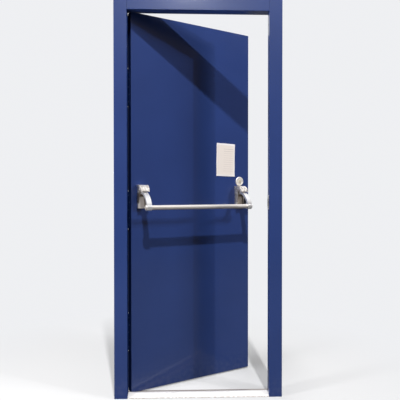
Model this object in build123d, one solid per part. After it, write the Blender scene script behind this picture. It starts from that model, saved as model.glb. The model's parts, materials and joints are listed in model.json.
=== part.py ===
from build123d import *
import os

# A steel fire exit door: folded frame, outward opening leaf, and a push bar with a rim latch.
# Millimetres. +X to the right seen from the push side, +Y away from that side, +Z up.
# The origin is the middle of the doorway on the floor, at half the depth of the frame.

# Frame
FRAME_WIDTH = 895.0
FRAME_HEIGHT = 2130.0
FACE_WIDTH = 70.0
STOP_DEPTH = 45.0
REBATE_DEPTH = 50.0
REBATE_STEP = 15.0
FRAME_SHEET = 1.5
FRAME_BEND = 2.0
FRAME_LIP = 12.0

# Fixings through each jamb into the wall
FIXING_BORE = 11.0
FIXING_FROM_FRONT = 22.0
FIXING_TUBE = 17.0
FIXING_TUBE_WALL = 2.0
FIXINGS_FROM_FLOOR = (250.0, 765.0)
FIXINGS_FROM_TOP = (740.0, 135.0)

# Threshold
THRESHOLD_PLATE = 3.0
THRESHOLD_RISE = 18.0
THRESHOLD_RAMP = 30.0
THRESHOLD_SHEET = 2.5

# Seals between the stops and the leaf
SEAL_WIDTH = 7.0
SEAL_GAP = 0.7
SEAL_INSET = 1.0
SEAL_ROUNDING = 0.45

# Leaf
OPEN_ANGLE = 27.4
LEAF_THICKNESS = 44.0
LEAF_SKIN = 1.2
LEAF_BEND = 1.5
FACE_GAP = 5.0
HINGE_GAP = 5.0
LOCK_GAP = 7.0
TOP_GAP = 5.0
FLOOR_GAP = 5.0
CHANNEL_SHEET = 1.5
CHANNEL_DEPTH = 25.0

# Hinges
HINGE_FROM_BOTTOM = 322.0
HINGE_FROM_TOP = 399.0
HINGE_LENGTH = 200.0
HINGE_PLATE = 2.0
HINGE_PLATE_WIDTH = 32.0
KNUCKLE_RADIUS = 7.5
LEAF_KNUCKLE = 79.0
KNUCKLE_GAP = 0.5
KNUCKLE_CLEARANCE = 1.5
PIN_RADIUS = 4.0
PIN_FIT = 0.05
PIN_BEHIND_FRAME = 8.0
PIN_HEAD_RADIUS = 6.0
PIN_HEAD_HEIGHT = 3.0

# Push bar housings: heights above their foot, depths out from the leaf
HOUSING_BOTTOM = 1010.0
HOUSING_HEIGHT = 127.0
HOUSING_FOOT_WIDTH = 46.0
HOUSING_CROWN_WIDTH = 56.0
HOUSING_FLARE_HEIGHT = 90.0
HOUSING_CORNER = 5.0
HOUSING_CROWN_CORNER = 1.5
HOUSING_FOOT_DEPTH = 28.0
HOUSING_WAIST_DEPTH = 36.0
HOUSING_NOTCH_HEIGHT = 102.0
HOUSING_NOTCH_RADIUS = 6.0
HOUSING_CROWN_DEPTH = 75.0
HOUSING_LIP_HEIGHT = 89.0
HOUSING_NOSE_HEIGHT = 94.0
HOUSING_TOP_DEPTH = 40.0
HOUSING_CROWN_BULGE = 6.0
HOUSING_WALL = 2.5
PANEL_WIDTH = 38.0
PANEL_HEIGHT = 62.0
PANEL_DEPTH = 21.0
PANEL_BULGE = 3.0
ARM_SLOT_TOP = 91.5
HINGE_SIDE_AT = 54.0
LOCK_SIDE_FROM_EDGE = 79.0

# Arms, their pivots and the bar
PIVOT_OUT = 26.0
PIVOT_BELOW_TOP = 41.0
PIVOT_PIN_RADIUS = 4.0
ARM_WIDTH = 28.0
ARM_THICKNESS = 12.0
ARM_BOW = 23.0
ARM_OVER_PIVOT = 4.0
ARM_OUTSIDE_BAR = 8.5
ARM_HUB_RADIUS = 10.5
ARM_HUB_PLAY = 0.3
LUG_THICKNESS = 2.5
LUG_RADIUS = 10.0
CHASSIS_PLATE = 2.0
CHASSIS_PLAY = 0.5
BAR_OUT = 117.0
BAR_ABOVE_FOOT = 6.0
BAR_RADIUS = 12.5
BAR_WALL = 1.5
BAR_OVERHANG = 6.0
BAR_CAP = 3.0
BAR_CAP_EDGE = 1.8
BAR_PLUG = 8.0
EYE_WALL = 4.5

# Latch
LATCH_ABOVE_FOOT = 33.0
LATCH_CASE_LENGTH = 35.0
LATCH_CASE_TALL = 60.0
LATCH_CASE_DEPTH = 34.0
LATCH_CASE_EDGE = 3.0
BOLT_ENGAGEMENT = 10.0
BOLT_LENGTH = 35.0
BOLT_TALL = 30.0
BOLT_THICKNESS = 14.0
BOLT_OUT = 22.0
BOLT_BEVEL = 10.0
BOLT_PLAY = 0.3
STRIKE_SHEET = 2.0
STRIKE_TALL = 80.0
STRIKE_MARGIN = 4.0
STRIKE_SLOT_MARGIN = 5.0
STRIKE_CORNER = 4.0

# Lock cylinder and its rosettes
CYLINDER_FROM_EDGE = 68.0
CYLINDER_RADIUS = 8.5
CYLINDER_OUT = 10.0
CYLINDER_PLAY = 0.1
KEYWAY_WIDTH = 2.0
KEYWAY_TALL = 9.0
KEYWAY_DEPTH = 6.0
ROSETTE_RADIUS = 27.5
ROSETTE_HEIGHT = 8.0
ROSETTE_DISH_RADIUS = 19.0
ROSETTE_DISH_DEPTH = 1.5
ROSETTE_EDGE = 4.0
ROSETTE_GAP = 1.5

# Notice sheet
NOTICE_WIDTH = 130.0
NOTICE_HEIGHT = 198.0
NOTICE_THICKNESS = 0.4
NOTICE_FROM_EDGE = 167.0
NOTICE_CENTRE_HEIGHT = 1294.0
NOTICE_TILT = 1.0

# Places that follow from the sizes above
FRAME_DEPTH = STOP_DEPTH + REBATE_DEPTH
FRONT = -FRAME_DEPTH / 2
BACK = FRAME_DEPTH / 2
STOP_BACK = FRONT + STOP_DEPTH
STOP_X = FRAME_WIDTH / 2 - FACE_WIDTH
REBATE_X = STOP_X + REBATE_STEP
SOFFIT = FRAME_HEIGHT - FACE_WIDTH
LEAF_LEFT = -REBATE_X + HINGE_GAP
LEAF_RIGHT = REBATE_X - LOCK_GAP
LEAF_WIDTH = LEAF_RIGHT - LEAF_LEFT
LEAF_FRONT = STOP_BACK + FACE_GAP
LEAF_BOTTOM = THRESHOLD_PLATE + FLOOR_GAP
LEAF_TOP = SOFFIT + REBATE_STEP - TOP_GAP
PIN_X = -REBATE_X + HINGE_GAP / 2
PIN_Y = BACK + PIN_BEHIND_FRAME
FIXING_Y = FRONT + FIXING_FROM_FRONT
FIXING_HEIGHTS = FIXINGS_FROM_FLOOR + tuple(FRAME_HEIGHT - drop for drop in FIXINGS_FROM_TOP)
BOTTOM_HINGE = LEAF_BOTTOM + HINGE_FROM_BOTTOM
TOP_HINGE = LEAF_TOP - HINGE_FROM_TOP
MIDDLE_HINGE = (BOTTOM_HINGE + TOP_HINGE) / 2
LOCK_SIDE_AT = LEAF_WIDTH - LOCK_SIDE_FROM_EDGE
HOUSING_TOP = HOUSING_BOTTOM + HOUSING_HEIGHT
PIVOT_HEIGHT = HOUSING_TOP - PIVOT_BELOW_TOP
BAR_HEIGHT = HOUSING_BOTTOM + BAR_ABOVE_FOOT
LATCH_HEIGHT = HOUSING_BOTTOM + LATCH_ABOVE_FOOT
LATCH_CASE_START = LOCK_SIDE_AT + HOUSING_FOOT_WIDTH / 2
BOLT_TIP = STOP_X + BOLT_ENGAGEMENT - LEAF_LEFT
CYLINDER_AT = LEAF_WIDTH - CYLINDER_FROM_EDGE
CYLINDER_HEIGHT = HOUSING_TOP + ROSETTE_GAP + ROSETTE_RADIUS
NOTICE_AT = LEAF_WIDTH - NOTICE_FROM_EDGE


def block(x0, x1, y0, y1, z0, z1):
    """A box between two corners."""
    centre = ((x0 + x1) / 2, (y0 + y1) / 2, (z0 + z1) / 2)
    return Pos(*centre) * Box(x1 - x0, y1 - y0, z1 - z0)


def leaf_block(along, out, z):
    """A box on the closed leaf: along from its hinge edge, out from its push face, z up."""
    return block(LEAF_LEFT + along[0], LEAF_LEFT + along[1], LEAF_FRONT - out[1], LEAF_FRONT - out[0], *z)


def side_plane(along):
    """The plane across the leaf at a distance from its hinge edge: first axis out, second up."""
    return Plane(origin=(LEAF_LEFT + along, LEAF_FRONT, 0), x_dir=(0, -1, 0), z_dir=(-1, 0, 0))


def face_plane(along=0.0, out=0.0):
    """The plane on the push face of the leaf: first axis along the leaf, second up, normal out."""
    return Plane(origin=(LEAF_LEFT + along, LEAF_FRONT - out, 0), x_dir=(1, 0, 0), z_dir=(0, -1, 0))


def plan_plane(along, z):
    """The plane that looks down on the leaf at a height: first axis along the leaf, second out."""
    return Plane(origin=(LEAF_LEFT + along, LEAF_FRONT, z), x_dir=(1, 0, 0), z_dir=(0, 0, -1))


def rod(along, out, z, radius):
    """A round bar along the leaf between two distances from its hinge edge."""
    plane = side_plane(along[0]) * Plane(origin=(out, z, 0))
    return extrude(plane * Circle(radius), amount=along[1] - along[0], dir=(1, 0, 0))


# Frame

def frame_outline():
    """The outside of the profile: first axis from the stop reveal to the wall, second across the wall."""
    outline = make_face(Polyline(
        (0, FRONT), (FACE_WIDTH, FRONT), (FACE_WIDTH, BACK),
        (REBATE_STEP, BACK), (REBATE_STEP, STOP_BACK), (0, STOP_BACK), close=True))
    return fillet(outline.vertices(), FRAME_BEND)


def frame_section(plane):
    """The folded sheet, open towards the wall between its two lips."""
    outline = frame_outline()
    hollow = offset(outline, amount=-FRAME_SHEET)
    mouth = Pos(FACE_WIDTH, 0) * Rectangle(4 * FRAME_SHEET, FRAME_DEPTH - 2 * FRAME_LIP)
    return plane * (outline - hollow - mouth)


def fixing_holes(side):
    """Bolt holes through the stop reveal of one jamb."""
    holes = [
        Pos(side * STOP_X, FIXING_Y, height) * Rot(0, 90, 0) * Cylinder(FIXING_BORE / 2, FACE_WIDTH)
        for height in FIXING_HEIGHTS]
    return Part() + holes


def strike_slot():
    """The opening that the latch bolt enters, through the strike plate and the jamb."""
    closed_y = LEAF_FRONT - BOLT_OUT
    half_y = BOLT_THICKNESS / 2 + STRIKE_SLOT_MARGIN
    half_z = BOLT_TALL / 2 + STRIKE_SLOT_MARGIN
    return block(
        STOP_X - 2 * STRIKE_SHEET, STOP_X + 2 * FRAME_SHEET, closed_y - half_y, closed_y + half_y,
        LATCH_HEIGHT - half_z, LATCH_HEIGHT + half_z)


def jamb_plane(side):
    """The floor under one jamb, first axis from its stop reveal to the wall."""
    return Plane(origin=(side * STOP_X, 0, 0), x_dir=(side, 0, 0), z_dir=(0, 0, side))


def stop_form(side):
    """The space beyond the stop reveal of one jamb, for what is coped square to it."""
    x0, x1 = sorted((side * STOP_X, side * FRAME_WIDTH / 2))
    return block(x0, x1, FRONT - FACE_GAP, STOP_BACK, -FACE_GAP, FRAME_HEIGHT + FACE_GAP)


def jamb(side):
    """One upright of the frame, from the floor to the full height."""
    post = extrude(frame_section(jamb_plane(side)), amount=FRAME_HEIGHT, dir=(0, 0, 1))
    post = post - fixing_holes(side)
    return post - strike_slot() if side > 0 else post


def head():
    """The top member, coped round the stops of the jambs."""
    plane = Plane(origin=(-REBATE_X, 0, SOFFIT), x_dir=(0, 0, 1), z_dir=(-1, 0, 0))
    bar = extrude(frame_section(plane), amount=2 * REBATE_X, dir=(1, 0, 0))
    return bar - [stop_form(side) for side in (-1, 1)]


def fixing_sleeves(side):
    """Square spacer tubes that carry each bolt from the reveal to the wall."""
    length = FACE_WIDTH - FRAME_SHEET
    middle = side * (STOP_X + FRAME_SHEET + length / 2)
    bore = FIXING_TUBE - 2 * FIXING_TUBE_WALL
    ring = Rectangle(FIXING_TUBE, FIXING_TUBE) - Rectangle(bore, bore)
    tube = extrude(ring, amount=length / 2, both=True)
    return [Pos(middle, FIXING_Y, height) * Rot(0, 90, 0) * tube for height in FIXING_HEIGHTS]


def threshold():
    """The sill: a hollow ramp up to the bottom stop, then a plate under the leaf."""
    plane = Plane(origin=(0, 0, 0), x_dir=(0, 1, 0), z_dir=(1, 0, 0))
    ramp = make_face(Polyline(
        (FRONT, 0), (FRONT, THRESHOLD_PLATE), (FRONT + THRESHOLD_RAMP, THRESHOLD_RISE),
        (STOP_BACK, THRESHOLD_RISE), (STOP_BACK, 0), close=True))
    hollow = offset(ramp, amount=-THRESHOLD_SHEET, kind=Kind.INTERSECTION)
    tread = Pos((STOP_BACK + BACK) / 2, THRESHOLD_PLATE / 2) * Rectangle(REBATE_DEPTH, THRESHOLD_PLATE)
    section = plane * (ramp - hollow + tread)
    sill = extrude(section, amount=REBATE_X, both=True)
    return sill - [stop_form(side) for side in (-1, 1)]


def seal_section(plane):
    """A flat backed bulb: first axis across the stop, second towards the leaf."""
    height = FACE_GAP - SEAL_GAP
    strip = Pos(SEAL_WIDTH / 2, height / 2) * Rectangle(SEAL_WIDTH, height)
    crown = strip.vertices().group_by(Axis.Y)[-1]
    return plane * fillet(crown, SEAL_ROUNDING * min(SEAL_WIDTH, height))


def side_seal(side):
    """The seal up one jamb, from the sill to the soffit."""
    origin = (side * (STOP_X + SEAL_INSET), STOP_BACK, THRESHOLD_RISE)
    plane = Plane(origin=origin, x_dir=(side, 0, 0), z_dir=(0, 0, side))
    return extrude(seal_section(plane), amount=SOFFIT - THRESHOLD_RISE, dir=(0, 0, 1))


def head_seal():
    """The seal along the head, between the rebates."""
    reach = REBATE_X - FRAME_BEND
    origin = (-reach, STOP_BACK, SOFFIT + SEAL_INSET)
    plane = Plane(origin=origin, x_dir=(0, 0, 1), z_dir=(-1, 0, 0))
    return extrude(seal_section(plane), amount=2 * reach, dir=(1, 0, 0))


def strike_plate():
    """The stainless keep on the stop reveal, with the slot for the bolt."""
    width = STOP_DEPTH - 2 * STRIKE_MARGIN
    plane = Plane(origin=(STOP_X, FRONT + STOP_DEPTH / 2, LATCH_HEIGHT), x_dir=(0, 1, 0), z_dir=(-1, 0, 0))
    plate = extrude(plane * RectangleRounded(width, STRIKE_TALL, STRIKE_CORNER), amount=STRIKE_SHEET)
    return plate - strike_slot()


# Hinges

def knuckle(z0, z1):
    """A length of the hinge barrel, bored for the pin."""
    ring = Circle(KNUCKLE_RADIUS) - Circle(PIN_RADIUS + PIN_FIT)
    return Pos(PIN_X, PIN_Y, z0) * extrude(ring, amount=z1 - z0)


def hinge_plate(side, middle, rolled, notched):
    """A plate flat in the gap, rolled into some knuckles and cut back round the others."""
    x0, x1 = sorted((PIN_X + side * HINGE_GAP / 2, PIN_X + side * (HINGE_GAP / 2 - HINGE_PLATE)))
    root = PIN_Y - (PIN_RADIUS + KNUCKLE_RADIUS) / 2
    half = HINGE_LENGTH / 2
    plate = block(x0, x1, root - HINGE_PLATE_WIDTH, root, middle - half, middle + half)
    clear = KNUCKLE_RADIUS + KNUCKLE_CLEARANCE
    for z0, z1 in notched:
        plate -= block(x0, x1, PIN_Y - clear, PIN_Y, z0 - KNUCKLE_GAP, z1 + KNUCKLE_GAP)
    bore = Pos(PIN_X, PIN_Y, middle) * Cylinder(PIN_RADIUS + PIN_FIT, HINGE_LENGTH)
    return plate + [knuckle(z0, z1) for z0, z1 in rolled] - bore


def hinge(middle):
    """The frame plate, the pin and the leaf plate of one hinge, with the leaf closed."""
    half = LEAF_KNUCKLE / 2
    end = HINGE_LENGTH / 2
    leaf_part = [(middle - half, middle + half)]
    frame_part = [
        (middle - end, middle - half - KNUCKLE_GAP),
        (middle + half + KNUCKLE_GAP, middle + end)]
    pin = Pos(PIN_X, PIN_Y, middle) * Cylinder(PIN_RADIUS, HINGE_LENGTH)
    for side in (-1, 1):
        button = Cylinder(PIN_HEAD_RADIUS, PIN_HEAD_HEIGHT)
        pin += Pos(PIN_X, PIN_Y, middle + side * (end + PIN_HEAD_HEIGHT / 2)) * button
    return (hinge_plate(-1, middle, frame_part, leaf_part), pin,
            hinge_plate(1, middle, leaf_part, frame_part))


# Leaf

def cylinder_hole():
    """The hole through the leaf for the lock cylinder."""
    plane = face_plane(CYLINDER_AT) * Plane(origin=(0, CYLINDER_HEIGHT, 0))
    circle = plane * Circle(CYLINDER_RADIUS + CYLINDER_PLAY)
    return extrude(circle, amount=LEAF_THICKNESS + CYLINDER_OUT, both=True)


def skin(out):
    """A folded steel tray that covers one face and half of both upright edges."""
    middle = -LEAF_THICKNESS / 2
    outline = make_face(Polyline((0, middle), (0, out), (LEAF_WIDTH, out), (LEAF_WIDTH, middle), close=True))
    folds = outline.vertices().group_by(Axis.Y)[-1 if out > middle else 0]
    outline = fillet(folds, LEAF_BEND)
    clear = (LEAF_WIDTH - 2 * LEAF_SKIN, LEAF_THICKNESS - 2 * LEAF_SKIN)
    inside = Pos(LEAF_WIDTH / 2, middle) * Rectangle(*clear)
    tray = extrude(plan_plane(0, LEAF_TOP) * (outline - inside), amount=LEAF_TOP - LEAF_BOTTOM)
    return tray - cylinder_hole()


def edge_channel(web, lips):
    """A U channel between the skins, its web flush with the top or bottom edge of the leaf."""
    inside = (LEAF_SKIN, LEAF_WIDTH - LEAF_SKIN)
    out = (-LEAF_THICKNESS + LEAF_SKIN, -LEAF_SKIN)
    channel = leaf_block(inside, out, sorted((web, lips)))
    step = CHANNEL_SHEET if lips > web else -CHANNEL_SHEET
    hollow_out = (out[0] + CHANNEL_SHEET, out[1] - CHANNEL_SHEET)
    return channel - leaf_block(inside, hollow_out, sorted((web + step, lips)))


def leaf_core():
    """The honeycomb filling between the skins and the two channels."""
    inside = (LEAF_SKIN, LEAF_WIDTH - LEAF_SKIN)
    out = (-LEAF_THICKNESS + LEAF_SKIN, -LEAF_SKIN)
    height = (LEAF_BOTTOM + CHANNEL_DEPTH, LEAF_TOP - CHANNEL_DEPTH)
    return leaf_block(inside, out, height) - cylinder_hole()


def rosette(out, direction):
    """A dished ring round the lock cylinder, on one face of the leaf."""
    profile = make_face(Polyline(
        (CYLINDER_RADIUS + CYLINDER_PLAY, 0), (ROSETTE_RADIUS, 0),
        (ROSETTE_RADIUS, ROSETTE_HEIGHT - ROSETTE_EDGE), (ROSETTE_RADIUS - ROSETTE_EDGE, ROSETTE_HEIGHT),
        (ROSETTE_DISH_RADIUS, ROSETTE_HEIGHT),
        (ROSETTE_DISH_RADIUS - ROSETTE_DISH_DEPTH, ROSETTE_HEIGHT - ROSETTE_DISH_DEPTH),
        (CYLINDER_RADIUS + CYLINDER_PLAY, ROSETTE_HEIGHT - ROSETTE_DISH_DEPTH), close=True))
    ring = revolve(Plane.XZ * profile, Axis.Z)
    origin = (LEAF_LEFT + CYLINDER_AT, LEAF_FRONT - out, CYLINDER_HEIGHT)
    return Plane(origin=origin, x_dir=(1, 0, 0), z_dir=(0, direction, 0)) * ring


def lock_cylinder():
    """The round lock barrel through the leaf, with a keyway in each end."""
    reach = LEAF_THICKNESS / 2 + CYLINDER_OUT
    origin = (LEAF_LEFT + CYLINDER_AT, LEAF_FRONT + LEAF_THICKNESS / 2, CYLINDER_HEIGHT)
    barrel = Pos(*origin) * Rot(90, 0, 0) * Cylinder(CYLINDER_RADIUS, 2 * reach)
    for side in (-1, 1):
        keyway = Box(KEYWAY_WIDTH, 2 * KEYWAY_DEPTH, KEYWAY_TALL)
        barrel -= Pos(origin[0], origin[1] + side * reach, origin[2]) * keyway
    return barrel


def notice_sheet():
    """The paper sheet on the push face, hung slightly askew."""
    plane = face_plane(NOTICE_AT) * Plane(origin=(0, NOTICE_CENTRE_HEIGHT, 0))
    sheet = Rot(0, 0, -NOTICE_TILT) * Rectangle(NOTICE_WIDTH, NOTICE_HEIGHT)
    return extrude(plane * sheet, amount=NOTICE_THICKNESS)


# Push bar housings

def housing_side(back):
    """The housing seen along the leaf: leaning cheeks, a notch and an overhanging crown."""
    lip = (HOUSING_CROWN_DEPTH, HOUSING_BOTTOM + HOUSING_LIP_HEIGHT)
    nose = (HOUSING_CROWN_DEPTH, HOUSING_BOTTOM + HOUSING_NOSE_HEIGHT)
    crown_end = (HOUSING_TOP_DEPTH, HOUSING_TOP)
    run = (nose[0] - crown_end[0], crown_end[1] - nose[1])
    length = (run[0] ** 2 + run[1] ** 2) ** 0.5
    bulge = (
        (nose[0] + crown_end[0]) / 2 + HOUSING_CROWN_BULGE * run[1] / length,
        (nose[1] + crown_end[1]) / 2 + HOUSING_CROWN_BULGE * run[0] / length)
    notch = (HOUSING_WAIST_DEPTH, HOUSING_BOTTOM + HOUSING_NOTCH_HEIGHT)
    lower = Polyline(
        crown_end, (back, HOUSING_TOP), (back, HOUSING_BOTTOM), (HOUSING_FOOT_DEPTH, HOUSING_BOTTOM),
        notch, lip, nose)
    outline = make_face([lower, ThreePointArc(nose, bulge, crown_end)])
    corner = outline.vertices().sort_by_distance((*notch, 0))[0]
    return fillet(corner, HOUSING_NOTCH_RADIUS)


def housing_front():
    """The housing seen from the front: straight sides that flare out at the crown."""
    half_foot = HOUSING_FOOT_WIDTH / 2
    half_crown = HOUSING_CROWN_WIDTH / 2
    flare = HOUSING_BOTTOM + HOUSING_FLARE_HEIGHT
    right = TangentArc((half_foot, flare), (half_crown, HOUSING_TOP), tangent=(0, 1))
    left = TangentArc((-half_foot, flare), (-half_crown, HOUSING_TOP), tangent=(0, 1))
    sides = Polyline(
        (-half_foot, flare), (-half_foot, HOUSING_BOTTOM), (half_foot, HOUSING_BOTTOM), (half_foot, flare))
    outline = make_face([sides, right, left, Line(left @ 1, right @ 1)])
    corners = outline.vertices().group_by(Axis.Y)
    outline = fillet(corners[0], HOUSING_CORNER)
    return fillet(outline.vertices().group_by(Axis.Y)[-1], HOUSING_CROWN_CORNER)


def panel_recess(along, grow):
    """The space in front of the bowed panel between the cheeks, grown to leave a wall behind it."""
    half = PANEL_WIDTH / 2 + grow
    deep = HOUSING_CROWN_DEPTH + HOUSING_WALL
    edge = PANEL_DEPTH - grow
    floor = ThreePointArc((-half, edge), (0, edge + PANEL_BULGE), (half, edge))
    outline = make_face([floor, Polyline((half, edge), (half, deep), (-half, deep), (-half, edge))])
    height = PANEL_HEIGHT + HOUSING_WALL
    return extrude(plan_plane(along, HOUSING_BOTTOM + PANEL_HEIGHT) * outline, amount=height)


def arm_mouth(along):
    """The opening between the cheeks, through the underside of the crown and up to its lip."""
    panel_top = HOUSING_BOTTOM + PANEL_HEIGHT
    slot_top = HOUSING_BOTTOM + ARM_SLOT_TOP
    over = HOUSING_BOTTOM + HOUSING_WALL + CHASSIS_PLAY
    inside = HOUSING_CROWN_DEPTH - HOUSING_WALL
    outside = HOUSING_CROWN_DEPTH + HOUSING_WALL
    outline = make_face(Polyline(
        (HOUSING_WALL, panel_top), (HOUSING_WALL, over + HOUSING_NOTCH_HEIGHT),
        (HOUSING_WAIST_DEPTH, over + HOUSING_NOTCH_HEIGHT), (inside, over + HOUSING_LIP_HEIGHT),
        (inside, slot_top), (outside, slot_top), (outside, panel_top), close=True))
    return extrude(side_plane(along) * outline, amount=PANEL_WIDTH / 2, both=True)


def housing_cover(along):
    """A thin walled cast hood with a bowed panel between its cheeks, open for the arm above it."""
    wide = HOUSING_CROWN_WIDTH
    deep = HOUSING_CROWN_DEPTH + HOUSING_WALL
    form = extrude(side_plane(along) * housing_side(0), amount=wide, both=True)
    form &= extrude(face_plane(along) * housing_front(), amount=deep)
    inner_side = offset(housing_side(-4 * HOUSING_WALL), amount=-HOUSING_WALL)
    inner_front = offset(housing_front(), amount=-HOUSING_WALL)
    hollow = extrude(side_plane(along) * inner_side, amount=wide, both=True)
    hollow &= extrude(face_plane(along, -HOUSING_WALL) * inner_front, amount=deep)
    hollow -= panel_recess(along, HOUSING_WALL)
    return form - hollow - panel_recess(along, 0) - arm_mouth(along)


def lug_start():
    """How far the inner face of each lug is from the middle of its arm."""
    return ARM_WIDTH / 2 + ARM_HUB_PLAY


def housing_chassis(along):
    """The fixed bracket under a cover: a back plate and two lugs for the pivot pin."""
    inset = HOUSING_WALL + CHASSIS_PLAY
    half = HOUSING_FOOT_WIDTH / 2 - inset
    bracket = leaf_block(
        (along - half, along + half), (0, CHASSIS_PLATE),
        (HOUSING_BOTTOM + HOUSING_CORNER, HOUSING_TOP - inset))
    lug = Pos(PIVOT_OUT, PIVOT_HEIGHT) * Circle(LUG_RADIUS)
    lug += Pos(PIVOT_OUT / 2, PIVOT_HEIGHT) * Rectangle(PIVOT_OUT, 2 * LUG_RADIUS)
    lug -= Pos(PIVOT_OUT, PIVOT_HEIGHT) * Circle(PIVOT_PIN_RADIUS + PIN_FIT)
    for start in (along - lug_start() - LUG_THICKNESS, along + lug_start()):
        bracket += extrude(side_plane(start) * lug, amount=LUG_THICKNESS, dir=(1, 0, 0))
    return bracket


def pivot_pin(along):
    """The pin through both lugs that an arm turns on."""
    reach = lug_start() + LUG_THICKNESS + PIN_FIT
    return rod((along - reach, along + reach), PIVOT_OUT, PIVOT_HEIGHT, PIVOT_PIN_RADIUS)


def arm(along):
    """A bowed lever from its pivot hub to the eye round the bar."""
    pivot = (PIVOT_OUT, PIVOT_HEIGHT)
    bar = (BAR_OUT, BAR_HEIGHT)
    start = (pivot[0], pivot[1] + ARM_OVER_PIVOT)
    end = (bar[0] + ARM_OUTSIDE_BAR, bar[1])
    middle = SagittaArc(start, end, ARM_BOW)
    profile = Circle(ARM_HUB_RADIUS).moved(Pos(*pivot)) + Circle(BAR_RADIUS + EYE_WALL).moved(Pos(*bar))
    profile += SlotArc(middle, ARM_THICKNESS)
    lever = extrude(side_plane(along) * profile, amount=ARM_WIDTH / 2, both=True)
    span = (along - ARM_WIDTH / 2, along + ARM_WIDTH / 2)
    lever -= rod(span, *pivot, PIVOT_PIN_RADIUS + PIN_FIT)
    return lever - rod(span, *bar, BAR_RADIUS + PIN_FIT)


def bar_ends():
    """Where the bar begins and ends along the leaf, caps included."""
    reach = ARM_WIDTH / 2 + BAR_OVERHANG
    return HINGE_SIDE_AT - reach, LOCK_SIDE_AT + reach


def push_tube():
    """The round tube between the caps."""
    start, end = bar_ends()
    span = (start + BAR_CAP, end - BAR_CAP)
    outside = rod(span, BAR_OUT, BAR_HEIGHT, BAR_RADIUS)
    return outside - rod(span, BAR_OUT, BAR_HEIGHT, BAR_RADIUS - BAR_WALL)


def bar_cap(end, inward):
    """A bevelled cap with a plug inside the tube."""
    face = end + inward * BAR_CAP
    disc = rod(sorted((end, face)), BAR_OUT, BAR_HEIGHT, BAR_RADIUS)
    rim = disc.edges().filter_by(GeomType.CIRCLE).sort_by(Axis.X)[0 if inward > 0 else -1]
    disc = chamfer(rim, BAR_CAP_EDGE)
    plug_radius = BAR_RADIUS - BAR_WALL - PIN_FIT
    return disc + rod(sorted((face, face + inward * BAR_PLUG)), BAR_OUT, BAR_HEIGHT, plug_radius)


# Latch

def latch_case():
    """The cast case beside the lock side housing, with a channel that guides the bolt."""
    span = (LATCH_CASE_START, LATCH_CASE_START + LATCH_CASE_LENGTH)
    tall = (LATCH_HEIGHT - LATCH_CASE_TALL / 2, LATCH_HEIGHT + LATCH_CASE_TALL / 2)
    case = leaf_block(span, (0, LATCH_CASE_DEPTH), tall)
    front = case.faces().sort_by(Axis.Y)[0]
    case = chamfer(front.edges(), LATCH_CASE_EDGE)
    half = BOLT_THICKNESS / 2 + BOLT_PLAY
    half_tall = BOLT_TALL / 2 + BOLT_PLAY
    return case - leaf_block(span, (BOLT_OUT - half, BOLT_OUT + half),
                             (LATCH_HEIGHT - half_tall, LATCH_HEIGHT + half_tall))


def latch_bolt():
    """The sprung bolt, bevelled on the side that meets the keep as the leaf closes."""
    inner = BOLT_OUT - BOLT_THICKNESS / 2
    outer = BOLT_OUT + BOLT_THICKNESS / 2
    outline = make_face(Polyline(
        (BOLT_TIP - BOLT_LENGTH, -inner), (BOLT_TIP, -inner), (BOLT_TIP, -outer + BOLT_BEVEL),
        (BOLT_TIP - BOLT_BEVEL, -outer), (BOLT_TIP - BOLT_LENGTH, -outer), close=True))
    origin = (LEAF_LEFT, LEAF_FRONT, LATCH_HEIGHT)
    plane = Plane(origin=origin, x_dir=(1, 0, 0), z_dir=(0, 0, 1))
    return extrude(plane * outline, amount=BOLT_TALL / 2, both=True)


# Assembly

def frame_nodes():
    """Everything that is fixed to the wall."""
    return {
        "left_jamb": jamb(-1),
        "right_jamb": jamb(1),
        "head": head(),
        "threshold": threshold(),
        "left_seal": side_seal(-1),
        "right_seal": side_seal(1),
        "head_seal": head_seal(),
        "strike_plate": strike_plate(),
        "left_fixing_sleeves": fixing_sleeves(-1),
        "right_fixing_sleeves": fixing_sleeves(1),
    }


def leaf_nodes():
    """Everything that swings with the leaf, drawn with the leaf closed."""
    nodes = {
        "push_skin": skin(0),
        "outer_skin": skin(-LEAF_THICKNESS),
        "leaf_core": leaf_core(),
        "top_channel": edge_channel(LEAF_TOP, LEAF_TOP - CHANNEL_DEPTH),
        "bottom_channel": edge_channel(LEAF_BOTTOM, LEAF_BOTTOM + CHANNEL_DEPTH),
        "inner_rosette": rosette(0, -1),
        "outer_rosette": rosette(-LEAF_THICKNESS, 1),
        "lock_cylinder": lock_cylinder(),
        "notice_sheet": notice_sheet(),
        "latch_case": latch_case(),
        "latch_bolt": latch_bolt(),
        "push_tube": push_tube(),
    }
    ends = bar_ends()
    for name, along, end, inward in (
            ("hinge_side", HINGE_SIDE_AT, ends[0], 1), ("lock_side", LOCK_SIDE_AT, ends[1], -1)):
        nodes[name + "_cover"] = housing_cover(along)
        nodes[name + "_chassis"] = housing_chassis(along)
        nodes[name + "_pivot"] = pivot_pin(along)
        nodes[name + "_arm"] = arm(along)
        nodes[name + "_cap"] = bar_cap(end, inward)
    return nodes


def build():
    """All nodes, with the leaf swung open about its hinge pins."""
    nodes = frame_nodes()
    swinging = leaf_nodes()
    for name, height in (("bottom", BOTTOM_HINGE), ("middle", MIDDLE_HINGE), ("top", TOP_HINGE)):
        frame_plate, pin, leaf_plate = hinge(height)
        nodes[name + "_hinge_frame_plate"] = frame_plate
        nodes[name + "_hinge_pin"] = pin
        swinging[name + "_hinge_leaf_plate"] = leaf_plate
    swing = Pos(PIN_X, PIN_Y, 0) * Rot(0, 0, OPEN_ANGLE) * Pos(-PIN_X, -PIN_Y, 0)
    for name, shape in swinging.items():
        nodes[name] = swing * shape
    return nodes


os.makedirs("parts", exist_ok=True)
for node, shape in build().items():
    solids = shape if isinstance(shape, list) else shape.solids()
    export_step(solids[0] if len(solids) == 1 else Compound(solids), "parts/" + node + ".step")
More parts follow.
